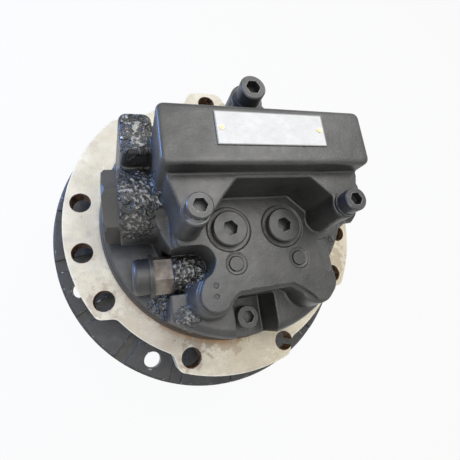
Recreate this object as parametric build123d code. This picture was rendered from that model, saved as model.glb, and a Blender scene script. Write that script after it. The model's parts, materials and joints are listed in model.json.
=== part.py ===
from build123d import *
import math
import os

# Travel final drive of a small crawler excavator: an axial piston motor in a two-stage planetary gearbox.
# Millimetres. Z = 0 is the machined face of the frame flange, and +Z points to the motor end.

# Fits and clearances
running = 0.05          # radial gap of a shaft or roller that turns or slides in its bore
gap = 0.3               # gap between pieces that pass each other without guiding
backlash = 0.3          # circumferential play of every gear mesh

# Gears
module_mm = 2.5
pressure_angle = math.radians(20)
ring_teeth = 72
sun_1_teeth = 12
sun_2_teeth = 18
planet_1_teeth = (ring_teeth - sun_1_teeth) // 2
planet_2_teeth = (ring_teeth - sun_2_teeth) // 2
planets_per_stage = 3
addendum = 0.85
dedendum = 1.25
ring_pitch_r = ring_teeth * module_mm / 2
stage_1_r = (sun_1_teeth + planet_1_teeth) * module_mm / 2
stage_2_r = (sun_2_teeth + planet_2_teeth) * module_mm / 2

# Second planet stage, whose pins are pressed in the casing's end
planet_2_top = -110.0
planet_2_w = 26.0
pin_2_r = 11.0
pin_2_depth = 22.0
pin_2_head_r = 16.0
pin_head_t = 3.0
needle_t = 3.2

# First planet stage on its rotating carrier
carrier_top = -143.0
carrier_t = 7.0
planet_1_w = 13.0
pin_1_r = 8.0
pin_1_head_r = 12.0
carrier_r = stage_1_r + pin_1_head_r + 9.5
sun_2_bore_r = 13.0
sun_2_spline_r = 19.0

# Frame flange and spindle casing
frame_pcd = 260.0
frame_hole_angles = [90, 170, 190, 210, 250, 290, 330, 350, 10]
frame_hole_d = 17.0
flange_r = frame_pcd / 2 + 13.2         # at the bolt lobes
relief_r = frame_pcd / 2 + 1.5          # between the lobes
flange_t = 18.0
lobe_ramp = 4.0         # degrees over which a lobe runs out
lobe_round = 8.0
pilot_r = frame_pcd / 2 - 17.5
pilot_h = 5.0
block_r = 41.0          # cylinder block of the motor
cavity_r = block_r + 10
cavity_bottom = -76.0
pin_wall = 7.75         # iron between the planet pins and the bearing seat
bearing_seat_r = stage_2_r + pin_2_r + pin_wall
bearing_seat_top = -50.0
bearing_seat_end = -96.0
neck_r = bearing_seat_r + 11
nut_thread_r = bearing_seat_r - 3.5
nut_w = 12.5
nut_t = 8.0
casing_end = -106.0

# Floating seal between casing and hub
seal_plane = -35.0
seal_ring_r = neck_r + 2
seal_lip_w = 10.0
seal_lip_r = seal_ring_r + seal_lip_w
seal_lip_t = 3.0
seal_stem_t = 4.0
seal_stem_length = 9.0
toric_section_r = 4.0
seal_cup_r = seal_ring_r + seal_stem_t + 2 * toric_section_r + gap
seal_cup_depth = 13.0
casing_lip_r = seal_cup_r + 5.7
labyrinth_gap = 1.5

# Main bearings: two opposed taper roller bearings
race_t = 4.5
race_taper = 3.0        # rise of the raceway over the bearing's width
roller_space = 9.0
outer_race_t = 7.5
bearing_w = 20.0
bearing_gap = 6.0       # hub shoulder between the two outer races
roller_count = 16
roller_length = 15.0

# Hub with the sprocket flange
hub_bore_r = bearing_seat_r + race_t + roller_space + outer_race_t
hub_rim_r = casing_lip_r + labyrinth_gap + 5.5
hub_rim_top = -20.5
hub_end = -98.0
sprocket_face = -52.0
sprocket_t = 14.0
sprocket_holes = 9
sprocket_hole_d = 16.0
sprocket_first_hole = 39.2
groove_angle = 10.5     # from each sprocket hole to the radial grooves beside it
groove_w = 12.0
groove_depth = 2.5
sprocket_pilot_h = 7.0

# Gear case and end cover
case_screw_d = 10.0
case_screw_count = 12
case_screw_reach = 16.0
case_screw_circle_r = hub_bore_r + 9
ring_r = case_screw_circle_r + case_screw_d
ring_top_bore_r = ring_pitch_r + 3.5
ring_spigot_h = 2.0     # clamps the lower outer race
tooth_top = -107.0
ring_end = -166.0
cover_rim_t = 10.0
cover_end = -190.0
cover_wall = 9.0
cover_dish_r = ring_pitch_r - 2
cover_cone = 7.0        # inward slope of the dish over its height
hub_body_r = ring_r + 2
sprocket_pilot_r = hub_body_r + 3
sprocket_pcd = 2 * (sprocket_pilot_r + 25)
sprocket_r = sprocket_pcd / 2 + 15

# Motor: shaft, cylinder block, pistons and plates
shaft_r = 12.5
shaft_bearing_r = 17.5
shaft_seal_r = 16.0
shaft_bearing_outer_r = 31.0
shaft_bearing_w = 14.0
seal_housing_r = 24.0
seal_w = 8.0
spline_r = 10.0
spline_depth = 24.0
block_top = 12.0
block_length = 54.0
piston_count = 9
piston_circle_r = block_r - 10
piston_half_pitch = piston_circle_r * math.sin(math.pi / piston_count)
piston_r = piston_half_pitch - 3.1
swash_r = block_r + 8
swash_t = 12.0
shoe_r = piston_half_pitch - 1.1
shoe_t = 3.0
shoe_neck_r = 5.5
retainer_t = 3.0
valve_plate_t = 4.0
rear_bearing_r = 15.0
rear_bearing_w = 11.0
shaft_end = 27.0

# Parking brake round the cylinder block
friction_discs = 3
disc_t = 2.2
plate_t = 2.0
disc_gap = 0.15
disc_outer_r = block_r + 7
brake_pack_bottom = -32.0
brake_piston_h = 13.0
brake_stroke = 1.5      # the piston is drawn released, lifted off the plates by this much
brake_springs = 8
brake_spring_r = 2.6
brake_spring_circle_r = cavity_r - 4.1
brake_spring_pocket = 9.0

# Rear cover casting
plinth_r = pilot_r - 2
plinth_top = 16.0
port_face = 80.5
pad_step = 4.5
pad_margin = 2.5
dome_r = 74.0
dome_top = 70.0
skirt_top_r = 84.0
skirt_top = 72.0
skirt_right = 96.0
shelf_top = 54.0        # step round the foot of the lobes
shelf_left = -64.0
shelf_right = 66.0
shelf_left_end_y = -70.0
shelf_r = plinth_r - 0.5
shelf_round = 6.0
block_front = 130.0     # front face of the transverse valve block
block_left = -72.0
block_right = 71.0
block_low_y = -1.8
block_high_y = 38.2
web_top = 117.5
web_low_y = -5.6
web_half = 67.5
window_left = -23.5
window_right = 30.0
window_corner_left = (-33.7, -16.8)
window_corner_right = (44.0, -19.5)
boss_r = 9.4
top_boss_r = 12.5
boss_draft = 1.2
side_screw_r = cavity_r + 7.8
side_screw_angle = math.radians(26.8)
side_screw = (side_screw_r * math.cos(side_screw_angle), -side_screw_r * math.sin(side_screw_angle))
top_screw_y = cavity_r + 13.5
top_seat = 100.8
low_screw_y = -94.0
low_seat = 20.3
pocket_half = 17.2
pocket_wall_y = -77.0
ear_inner = 70.0
ear_outer = 92.5
ear_round = 2.5
ear_low_y = 25.5
ear_high_y = 56.0
ear_top = 90.0
ear_draft = 4.0
spool_y = 2.0
spool_z = 46.0
spool_boss_r = 30.0
spool_boss_end = 96.0
spool_r = 12.0
spool_half = 58.0
spool_travel = 6.0
spring_seat_r = 14.0
spring_seat_t = 3.0
end_plug_af = 50.0
end_plug_head = 11.0
end_plug_thread_r = 20.0
end_plug_reach = 14.0
end_plug_turn = 10.0
port_plug_xy = (21.3, -29.6)
port_plug_r = 13.0
port_plug_head = 4.0
port_thread_r = 9.3
port_depth = 15.0
port_spot_r = 17.0
expander_xy = [(-19.1, -55.0), (31.0, -55.2)]
expander_r = 5.0
expander_spot_r = 8.2
pin_plug_xy = [(-36.1, -68.5), (-36.5, -76.0)]
pin_plug_r = 1.6
lobe_left = (-36.0, -75.0)
lobe_right = (45.0, -75.5)
lobe_left_r = 11.5
lobe_right_r = 12.5
notch_centre = (-46.5, -51.3)
notch_r = 12.0
pad_left = -59.6
pad_right = 60.0
scoop_corner = (47.0, -43.5)    # sloping scoop in the right edge of the port face, above the right lobe
scoop_turn = 12.0
scoop_w = 22.0
scoop_depth = 11.0
scoop_length = 26.0
fitting_y = -52.5
fitting_z = 36.0
fitting_boss_r = 16.0
fitting_boss_end = -60.0
fitting_af = 27.0
fitting_hex = 14.0
fitting_seal_r = 17.0
fitting_seal_t = 3.0
fitting_cap_r = 14.0
fitting_cap_length = 12.5
fitting_bore_r = 6.0
main_port_x = 38.0
main_port_z = 98.0
main_port_depth = 17.0
valve_x = 15.0          # relief valve cartridges
valve_z = 115.0
valve_r = 9.0
valve_length = 32.0

# Screws, plate and small parts
side_screw_d = 10.0     # through the webs
end_screw_d = 12.0      # top and lower screw
screw_head_ratio = 1.6
socket_ratio = 0.8
washer_t = 2.2
washer_ratio = 0.86
screw_grip = 18.0
nameplate_size = (75.6, 22.8)
nameplate_centre = (0.3, 21.8)
nameplate_t = 0.8
rivet_x = 34.2
rivet_r = 1.5

# Worked out from the sizes above
planet_1_top = carrier_top - carrier_t - 1.5
planet_1_end = planet_1_top - planet_1_w
swash_face = cavity_bottom + swash_t
spring_seat_x = spool_half + spool_travel + gap
lower_bearing_top = bearing_seat_top - bearing_w - bearing_gap


def revolved(points):
    """Solid of revolution about Z from (radius, z) points."""
    return revolve(make_face(Plane.XZ * Polyline(*points, close=True)), Axis.Z)


def tube(outer, inner, low, high, x=0, y=0):
    """Round tube along Z, or a disc where inner is 0."""
    body = Pos(x, y, (low + high) / 2) * Cylinder(outer, high - low)
    if inner:
        body -= Pos(x, y, (low + high) / 2) * Cylinder(inner, high - low)
    return body


def tube_x(outer, inner, low, high, y, z):
    """Round tube along X."""
    placed = Pos((low + high) / 2, y, z) * Rot(0, 90, 0)
    body = placed * Cylinder(outer, high - low)
    if inner:
        body -= placed * Cylinder(inner, high - low)
    return body


def tube_y(radius, low, high, x, z):
    """Round bar along Y."""
    return Pos(x, (low + high) / 2, z) * Rot(90, 0, 0) * Cylinder(radius, high - low)


def hexagon(across_flats, low, high, x=0, y=0, turn=0):
    """Hexagonal prism along Z."""
    outline = RegularPolygon(across_flats / 2, 6, major_radius=False, rotation=turn)
    return Pos(x, y, low) * extrude(outline, high - low)


def block(x0, x1, y0, y1, z0, z1):
    return Pos((x0 + x1) / 2, (y0 + y1) / 2, (z0 + z1) / 2) * Box(x1 - x0, y1 - y0, z1 - z0)


def around(shape, count, start=0.0):
    """Copies of a shape at equal angles about Z."""
    return [Rot(0, 0, start + 360.0 * k / count) * shape for k in range(count)]


def closed_face(start, steps):
    """Face from a start point and steps: a point makes a line, a (via, end) pair makes an arc."""
    edges = []
    for step in steps:
        if isinstance(step[0], tuple):
            edges.append(ThreePointArc(start, *step))
            start = step[-1]
        else:
            edges.append(Line(start, step))
            start = step
    return make_face(Curve() + edges)


def union(shapes):
    """One solid from shapes that overlap."""
    first, *rest = shapes
    return first.fuse(*rest) if rest else first


def group(shapes):
    """Separate solids kept together in one file."""
    return Compound(children=[s.solid() if isinstance(s, Part) else s for s in shapes])


def cap_screw(diameter, seat, tip, x, y):
    """Socket head cap screw whose head rests on z = seat and whose tip is at z = tip, head up or down."""
    up = 1 if seat > tip else -1
    head_r = diameter * screw_head_ratio / 2
    head_end = seat + up * diameter
    head = tube(head_r, 0, min(seat, head_end), max(seat, head_end), x, y)
    rim = head.faces().sort_by(Axis.Z)[-1 if up > 0 else 0].edges()
    head = chamfer(rim, diameter * 0.07)
    floor = head_end - up * diameter * 0.55
    head -= hexagon(diameter * socket_ratio, min(floor, head_end), max(floor, head_end), x, y)
    return head + tube(diameter / 2, 0, min(seat, tip), max(seat, tip), x, y)


def involute(angle):
    return math.tan(angle) - angle


def half_angle(teeth, radius, thickness):
    """Half the angle that a tooth of this thickness at the pitch circle takes up at a radius."""
    pitch = teeth * module_mm / 2
    base = pitch * math.cos(pressure_angle)
    at_radius = math.acos(min(1.0, base / radius))
    return thickness / (2 * pitch) + involute(pressure_angle) - involute(at_radius)


def tooth_outline(teeth, low, high, thickness, turn):
    """Closed gear outline with a tooth centred on turn degrees: each flank passes root, pitch and tip."""
    radii = [low, teeth * module_mm / 2, high]
    points = []
    for k in range(teeth):
        centre = math.radians(turn) + 2 * math.pi * k / teeth
        flank = [(r, half_angle(teeth, r, thickness)) for r in radii]
        for r, a in flank:
            points.append((r * math.cos(centre - a), r * math.sin(centre - a)))
        for r, a in reversed(flank):
            points.append((r * math.cos(centre + a), r * math.sin(centre + a)))
    return make_face(Polyline(*points, close=True))


def outer_gear(teeth, turn=0.0):
    """Outline of an external gear."""
    pitch = teeth * module_mm / 2
    thickness = math.pi * module_mm / 2 - backlash / 2
    return tooth_outline(teeth, pitch - dedendum * module_mm, pitch + addendum * module_mm, thickness, turn)


def ring_spaces():
    """Outline of the space inside the ring gear's teeth."""
    thickness = math.pi * module_mm / 2 + backlash / 2
    low = ring_pitch_r - addendum * module_mm
    high = ring_pitch_r + dedendum * module_mm
    return tooth_outline(ring_teeth, low, high, thickness, 0.0)


def frame_flange():
    """Lobed frame flange: full radius at the bolts and relieved between them."""
    lobes = [(84.5, 97.0), (131.0, 214.0), (247.0, 290.0), (327.0, 409.0)]
    points = []
    for k, (start, end) in enumerate(lobes):
        following = lobes[(k + 1) % len(lobes)][0] + 360 * (k + 1 == len(lobes))
        arcs = [(flange_r, start, end), (relief_r, end + lobe_ramp, following - lobe_ramp)]
        for radius, a0, a1 in arcs:
            turned = [math.radians(a) for a in (a0, (a0 + a1) / 2, a1)]
            points.append([(radius * math.cos(a), radius * math.sin(a)) for a in turned])
    steps = []
    for k, arc in enumerate(points):
        steps += [arc[1:], points[(k + 1) % len(points)][0]]
    outline = closed_face(points[0][0], steps)
    plate = extrude(outline, flange_t)
    plate = Pos(0, 0, -flange_t) * fillet(plate.edges().filter_by(Axis.Z), lobe_round)
    for angle in frame_hole_angles:
        a = math.radians(angle)
        plate -= tube(frame_hole_d / 2, 0, -flange_t, 0, frame_pcd / 2 * math.cos(a), frame_pcd / 2 * math.sin(a))
    return plate


def motor_casing():
    """Stationary spindle casing: frame flange, motor chamber, bearing seats and second-stage pin bores."""
    cup_bottom = seal_plane + seal_cup_depth
    lip_end = seal_plane + 2
    body = revolved([
        (cavity_r, pilot_h), (pilot_r - 1, pilot_h), (pilot_r, pilot_h - 1), (pilot_r, -flange_t),
        (casing_lip_r, -flange_t), (casing_lip_r, lip_end), (seal_cup_r, lip_end),
        (seal_cup_r, cup_bottom), (neck_r, cup_bottom), (neck_r, bearing_seat_top),
        (bearing_seat_r, bearing_seat_top), (bearing_seat_r, bearing_seat_end),
        (nut_thread_r, bearing_seat_end), (nut_thread_r, casing_end),
        (shaft_seal_r + 1, casing_end), (shaft_seal_r + 1, cavity_bottom - shaft_bearing_w - seal_w),
        (seal_housing_r, cavity_bottom - shaft_bearing_w - seal_w),
        (seal_housing_r, cavity_bottom - shaft_bearing_w),
        (shaft_bearing_outer_r, cavity_bottom - shaft_bearing_w),
        (shaft_bearing_outer_r, cavity_bottom), (cavity_r, cavity_bottom),
    ])
    bore = tube(pilot_r - 1, 0, -flange_t - 1, 1)
    body += frame_flange() - bore
    pin = tube(pin_2_r, 0, casing_end, casing_end + pin_2_depth, stage_2_r)
    for hole in around(pin, planets_per_stage):
        body -= hole
    for x, y, seat, diameter in cover_screw_places():
        body -= tube(diameter / 2, 0, pilot_h - screw_grip, pilot_h, x, y)
    return body


def cover_screw_places():
    """(x, y, seat, diameter) of the four screws that hold the rear cover."""
    return [
        (-side_screw[0], side_screw[1], web_top, side_screw_d),
        (side_screw[0], side_screw[1], web_top, side_screw_d),
        (0, top_screw_y, top_seat, end_screw_d),
        (0, low_screw_y, low_seat, end_screw_d),
    ]


def port_outline():
    """Machined port face: two lobes below, a rounded notch at the left, and square under the webs."""
    left_x, left_y = lobe_left
    right_x, right_y = lobe_right
    notch_x, notch_y = notch_centre
    side = right_x + lobe_right_r
    notch_top = notch_y + notch_r
    start = (notch_x + 2, notch_top)
    return closed_face(start, [
        (-55.6, notch_top),
        ((-58.6, notch_top + 1.2), (pad_left, notch_top + 4)),
        (pad_left, 0), (pad_right, 0), (pad_right, right_y + 26), (side + 1, right_y + 8),
        ((right_x + 8, right_y - 9.5), (right_x - 3, right_y - 12.1)),
        ((right_x - 12, right_y - 4), (right_x - 22, right_y + 2.6)),
        (-18.5, left_y + 0.5),
        ((-24.5, left_y - 3.5), (-28.5, left_y - 8.5)),
        ((left_x - 5, left_y - 10.4), (left_x - lobe_left_r, left_y)),
        ((-44.8, -66.5), (-40.5, -60.9)),
        ((notch_x + notch_r + 0.3, notch_y + 1), start),
    ])


def spool_axis_boss():
    """Cross boss that holds the counterbalance spool, along X."""
    return tube_x(spool_boss_r, 0, -spool_boss_end, spool_boss_end, spool_y, spool_z)


def upper_block():
    """Transverse valve block with the webs that run to the two side screws and the ear of the top screw."""
    body = block(block_left, block_right, block_low_y, block_high_y, dome_top - 10, block_front)
    body = fillet(body.edges().filter_by(Axis.Z), 5)
    body = fillet(body.faces().sort_by(Axis.Z)[-1].edges(), 2.5)
    x, y = side_screw
    top = block_high_y - 8
    web = Polyline(
        (-web_half, top), (-web_half, web_low_y), (-x - boss_r, y + 3), (-x, y - boss_r), (-x + 5, y - 7.9),
        window_corner_left, (window_left, web_low_y), (window_right, web_low_y), window_corner_right,
        (x - boss_r, y - 1), (x, y - boss_r), (x + boss_r, y), (web_half, web_low_y), (web_half, top), close=True
    )
    body += Pos(0, 0, port_face - pad_step) * extrude(make_face(web), web_top - port_face + pad_step)
    ear = Polyline((-30, block_high_y - 8), (-9, top_screw_y), (9, top_screw_y), (30, block_high_y - 8), close=True)
    body += Pos(0, 0, plinth_top) * extrude(make_face(ear), top_seat - plinth_top)
    return body


def boss(x, y, seat, radius):
    """Tapered screw boss that stands on the plinth."""
    height = seat - plinth_top
    return Pos(x, y, plinth_top + height / 2) * Cone(radius + boss_draft, radius, height)


def lower_body():
    """Port pad, the lobes under it and the sloping skirt, with the pocket of the lower screw."""
    pad = port_outline()
    body = Pos(0, 0, port_face - pad_step) * extrude(pad, pad_step)
    skirt = revolved([
        (0, plinth_top - 2), (plinth_r - 1.5, plinth_top - 2), (skirt_top_r, skirt_top), (0, skirt_top),
    ])
    skirt &= block(lobe_right[0], skirt_right, -plinth_r, 0, 0, port_face)
    shelf = revolved([
        (0, plinth_top - 2), (shelf_r, plinth_top - 2), (shelf_r, shelf_top - shelf_round),
        (shelf_r - shelf_round / 3, shelf_top - shelf_round / 3), (shelf_r - shelf_round, shelf_top), (0, shelf_top),
    ])
    shelf &= block(shelf_left, shelf_right, -plinth_r, 0, 0, port_face)
    shelf -= block(shelf_left - 1, notch_centre[0] + notch_r - 6, shelf_left_end_y, 0, plinth_top, port_face)
    under = Pos(0, 0, plinth_top) * extrude(offset(pad, pad_margin), port_face - pad_step - plinth_top)
    for (x, y), r in ((lobe_left, lobe_left_r), (lobe_right, lobe_right_r)):
        height = port_face - pad_step - plinth_top
        under += Pos(x, y, plinth_top + height / 2) * Cone(r + 10, r + pad_margin, height)
    pocket = block(-pocket_half, pocket_half, -plinth_r - 1, pocket_wall_y, low_seat, port_face)
    return body + (skirt + shelf + under - pocket)


def ear(side):
    """Tall cast pad beside the valve block, wider at its foot, with rounded outer corners."""
    middle = side * (ear_inner + ear_outer) / 2
    levels = []
    for level, grow in ((plinth_top - 1, ear_draft), (ear_top, 0.0)):
        outline = RectangleRounded(ear_outer - ear_inner + grow, ear_high_y - ear_low_y + grow, 6)
        levels.append(Pos(middle + side * grow / 2, (ear_low_y + ear_high_y) / 2, level) * outline)
    body = loft(Sketch() + levels)
    return fillet(body.faces().sort_by(Axis.Z)[-1].edges(), ear_round)


def rear_cover():
    """One casting that closes the motor: port face, valve block, spool boss and the screw bosses."""
    body = tube(plinth_r, 0, pilot_h, plinth_top)
    body += tube(dome_r, 0, plinth_top, dome_top)
    body += lower_body()
    body += spool_axis_boss()
    body += upper_block()
    for x, y, seat, diameter in cover_screw_places()[:3]:
        body += boss(x, y, seat, boss_r if seat == web_top else top_boss_r)
    for side in (-1, 1):
        body += ear(side)
        near, far = sorted((side * (ear_outer + 1), side * (ear_inner - 18)))
        body += block(near, far, spool_y, ear_high_y - 8, plinth_top - 1, dome_top - 2)
    x, y = notch_centre
    body -= tube(notch_r, 0, plinth_top, port_face, x, y)
    body -= block(-plinth_r, x, y - notch_r, y + notch_r, plinth_top, port_face)
    body += tube_x(fitting_boss_r, 0, fitting_boss_end, x + notch_r, fitting_y, fitting_z)
    return body - cover_cavities()


def cover_cavities():
    """All bores of the rear cover."""
    cuts = [
        tube(block_r + 2, 0, pilot_h, block_top + valve_plate_t),
        tube(rear_bearing_r, 0, block_top + valve_plate_t, block_top + valve_plate_t + rear_bearing_w + 1),
        tube_x(spool_r, 0, -spool_boss_end, spool_boss_end, spool_y, spool_z),
    ]
    for side in (-1, 1):
        start = side * (spool_boss_end - end_plug_reach)
        ends = sorted((start, side * spool_boss_end))
        cuts.append(tube_x(end_plug_thread_r, 0, *ends, spool_y, spool_z))
        ends = sorted((side * spring_seat_x, side * spool_boss_end))
        cuts.append(tube_x(spring_seat_r, 0, *ends, spool_y, spool_z))
        cuts.append(tube(5, 0, block_top, spool_z, side * piston_circle_r))
        x, y = side * port_plug_xy[0], port_plug_xy[1]
        cuts.append(tube(port_spot_r, 0, port_face - 1, port_face, x, y))
        cuts.append(tube(port_thread_r, 0, port_face - port_depth, port_face, x, y))
        cuts.append(tube(port_thread_r - 2, 0, spool_z, port_face - port_depth, x, y))
        cuts.append(tube_y(port_thread_r, block_high_y - main_port_depth, block_high_y, side * main_port_x, main_port_z))
        cuts.append(tube(4.5, 0, spool_z, main_port_z, side * main_port_x, block_high_y - main_port_depth))
        cuts.append(tube_y(valve_r, block_high_y - valve_length, block_high_y, side * valve_x, valve_z))
    for x, y in expander_xy:
        cuts.append(tube(expander_spot_r, 0, port_face - 0.8, port_face, x, y))
        cuts.append(tube(expander_r, 0, port_face - 35, port_face - 0.8, x, y))
    for x, y in pin_plug_xy:
        cuts.append(tube(pin_plug_r, 0, port_face - 8, port_face, x, y))
    cuts.append(tube_x(fitting_bore_r, 0, fitting_boss_end, -38, fitting_y, fitting_z))
    section = Plane.XZ * Polyline((0, 0), (scoop_w, 0), (scoop_w, -scoop_depth), close=True)
    scoop = Pos(*scoop_corner, port_face) * Rot(0, 0, scoop_turn) * extrude(
        make_face(section), scoop_length, dir=(0, -1, 0)
    )
    cuts.append(scoop - tube(lobe_right_r, 0, plinth_top, port_face, *lobe_right))
    cuts.append(tube_x(fitting_seal_r + 1.5, 0, -plinth_r, fitting_boss_end, fitting_y, fitting_z))
    for x, y, seat, diameter in cover_screw_places():
        cuts.append(tube(diameter / 2 + 0.5, 0, pilot_h, seat, x, y))
    spring = tube(brake_spring_r + gap, 0, pilot_h, pilot_h + brake_spring_pocket, brake_spring_circle_r)
    cuts += around(spring, brake_springs, 22.5)
    return union(cuts)


def seal_half(side):
    """One metal ring of the floating seal: side 1 is the casing's, side -1 the hub's."""
    face = seal_plane if side > 0 else seal_plane - running
    return revolved([
        (seal_ring_r, face), (seal_lip_r, face), (seal_lip_r, face + side * seal_lip_t),
        (seal_ring_r + seal_stem_t, face + side * seal_lip_t),
        (seal_ring_r + seal_stem_t, face + side * (seal_lip_t + seal_stem_length)),
        (seal_ring_r, face + side * (seal_lip_t + seal_stem_length)),
    ])


def seal_toric(side):
    """Rubber ring that presses one seal half on its mate."""
    centre_r = (seal_ring_r + seal_stem_t + seal_cup_r) / 2
    height = seal_plane + side * (seal_lip_t + toric_section_r + 0.5)
    return Pos(0, 0, height) * Torus(centre_r, (seal_cup_r - seal_ring_r - seal_stem_t) / 2 - 0.02)


def race_profile(top, opens, inner):
    """Points of one race. The raceway's radius grows towards the side that it opens to."""
    bottom = top - bearing_w
    wide, narrow = (top, bottom) if opens > 0 else (bottom, top)
    small = bearing_seat_r + race_t
    if inner:
        return [(bearing_seat_r, narrow), (small, narrow), (small + race_taper, wide), (bearing_seat_r, wide)]
    low = small + roller_space
    end = narrow + math.copysign(2, wide - narrow)
    rise = race_taper * 2 / bearing_w
    return [(hub_bore_r, end), (low + rise, end), (low + race_taper, wide), (hub_bore_r, wide)]


def main_bearings():
    """Inner races, outer races and rollers of the two main bearings."""
    tops = [(bearing_seat_top, 1), (lower_bearing_top, -1)]
    inner = [revolved(race_profile(top, opens, True)) for top, opens in tops]
    outer = [revolved(race_profile(top, opens, False)) for top, opens in tops]
    rollers = []
    tilt = math.degrees(math.atan(race_taper / bearing_w))
    radius = roller_space / 2 * math.cos(math.radians(tilt)) - running
    middle_r = bearing_seat_r + race_t + race_taper / 2 + roller_space / 2
    for top, opens in tops:
        roller = Pos(middle_r, 0, top - bearing_w / 2) * Rot(0, opens * tilt, 0) * Cylinder(radius, roller_length)
        rollers += around(roller, roller_count, 0 if opens > 0 else 180 / roller_count)
    return inner, outer, rollers


def hub():
    """Rotating hub: seal cup, bearing bores and the sprocket flange with its raised bolt lands."""
    cup_end = seal_plane - seal_cup_depth
    lip_top = seal_plane - 2
    shoulder_top = bearing_seat_top - bearing_w
    rim_bore = casing_lip_r + labyrinth_gap
    flange_end = sprocket_face - sprocket_t
    body = revolved([
        (rim_bore, hub_rim_top), (hub_rim_r, hub_rim_top), (hub_rim_r, sprocket_face),
        (sprocket_r - 2, sprocket_face), (sprocket_r, sprocket_face - 2),
        (sprocket_r, flange_end), (sprocket_pilot_r, flange_end),
        (sprocket_pilot_r, flange_end - sprocket_pilot_h), (hub_body_r, flange_end - sprocket_pilot_h - 2),
        (hub_body_r, hub_end), (hub_bore_r, hub_end), (hub_bore_r, shoulder_top - bearing_gap),
        (hub_bore_r - 4.5, shoulder_top - bearing_gap), (hub_bore_r - 4.5, shoulder_top),
        (hub_bore_r, shoulder_top), (hub_bore_r, cup_end), (seal_cup_r, cup_end), (seal_cup_r, lip_top),
        (rim_bore, lip_top),
    ])
    hole = tube(sprocket_hole_d / 2, 0, flange_end - 1, sprocket_face + 1, sprocket_pcd / 2)
    low = sprocket_face - groove_depth
    groove = block(hub_rim_r + 2, sprocket_r + 1, -groove_w / 2, groove_w / 2, low, sprocket_face + 1)
    for side in (-1, 1):
        for cut in around(groove, sprocket_holes, sprocket_first_hole + side * groove_angle):
            body -= cut
    for cut in around(hole, sprocket_holes, sprocket_first_hole):
        body -= cut
    tapped = tube(case_screw_d / 2, 0, hub_end, hub_end + case_screw_reach, case_screw_circle_r)
    for cut in around(tapped, case_screw_count):
        body -= cut
    return body


def ring_gear():
    """Gear case with the internal teeth that both stages share."""
    body = revolved([
        (ring_top_bore_r, hub_end + ring_spigot_h), (hub_bore_r, hub_end + ring_spigot_h), (hub_bore_r, hub_end),
        (ring_r, hub_end), (ring_r, ring_end), (0, ring_end), (0, tooth_top), (ring_top_bore_r, tooth_top),
    ])
    body -= Pos(0, 0, ring_end) * extrude(ring_spaces(), tooth_top - ring_end)
    hole = tube(case_screw_d / 2 + 0.25, 0, ring_end, hub_end, case_screw_circle_r)
    for cut in around(hole, case_screw_count):
        body -= cut
    return body


def oil_plug_places():
    """(x, y) of the fill and drain plugs in the end cover."""
    return [(62 * math.cos(math.radians(a)), 62 * math.sin(math.radians(a))) for a in (30, 150, 270)]


def end_cover():
    """Dished cover: screw rim, dish that the drive stands on, plug bosses and thrust pad seat."""
    rim_end = ring_end - cover_rim_t
    inner_end = cover_end + cover_wall
    inner_r = cover_dish_r - cover_wall
    body = revolved([
        (0, cover_end), (cover_dish_r - cover_cone - 2, cover_end), (cover_dish_r - cover_cone, cover_end + 2),
        (cover_dish_r + 3, rim_end), (ring_r - 1, rim_end), (ring_r, rim_end + 1), (ring_r, ring_end),
        (inner_r + 6, ring_end), (inner_r, inner_end), (18, inner_end), (18, inner_end + 5), (0, inner_end + 5),
    ])
    for x, y in oil_plug_places():
        body += tube(15, 0, cover_end + 3, inner_end + 5, x, y)
        body -= tube(port_thread_r, 0, cover_end, inner_end + 5, x, y)
        body -= tube(port_plug_r + 0.5, 0, cover_end, cover_end + 5, x, y)
    body -= tube(12, 0, inner_end + 2, inner_end + 5)
    hole = tube(case_screw_d / 2 + 0.25, 0, rim_end, ring_end, case_screw_circle_r)
    for cut in around(hole, case_screw_count):
        body -= cut
    return body


def planet(teeth, bore, low, high, turn):
    """Planet gear at its place on +X of its stage, before it is turned about Z."""
    body = extrude(outer_gear(teeth, turn), high - low)
    return Pos(0, 0, low) * body - tube(bore, 0, low, high)


def planet_stage(teeth, centre_r, bore, low, high):
    """The stage's planets in their places, each with a tooth pointing straight outwards."""
    gear = Pos(centre_r, 0, 0) * planet(teeth, bore, low, high, 0.0)
    return around(gear, planets_per_stage)


def sun_gear_2():
    """Second-stage sun, hollow for the input shaft, splined in the carrier."""
    teeth = Pos(0, 0, planet_2_top - planet_2_w - 5) * extrude(outer_gear(sun_2_teeth, 0.0), planet_2_w + 7)
    body = teeth + tube(sun_2_spline_r, 0, carrier_top - carrier_t, planet_2_top - planet_2_w - 5)
    return body - tube(sun_2_bore_r, 0, carrier_top - carrier_t, planet_2_top + 3)


def carrier_1():
    """First-stage carrier plate with three pin bosses and weight cut-outs between them."""
    low = carrier_top - carrier_t
    body = tube(carrier_r, 0, low, carrier_top)
    window = tube(17, 0, low, carrier_top, carrier_r - 22)
    for cut in around(window, planets_per_stage, 60):
        body -= cut
    body -= tube(sun_2_spline_r, 0, low, carrier_top)
    for cut in around(tube(pin_1_r, 0, low, carrier_top, stage_1_r), planets_per_stage):
        body -= cut
    return body


def headed_pin(radius, head_r, low, high, centre_r):
    """Planet pin with its head at the low end."""
    body = tube(radius, 0, low, high, centre_r) + tube(head_r, 0, low, low + pin_head_t, centre_r)
    return around(body, planets_per_stage)


def sun_gear_1():
    """First-stage sun on the slim input shaft that is splined in the motor shaft."""
    end = cavity_bottom - shaft_bearing_w - seal_w
    top = end - 6 + spline_depth
    low = planet_1_end - 2
    teeth = Pos(0, 0, low) * extrude(outer_gear(sun_1_teeth, 180.0 / sun_1_teeth), planet_1_w + 3)
    return teeth + tube(spline_r, 0, planet_1_top, top)


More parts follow.
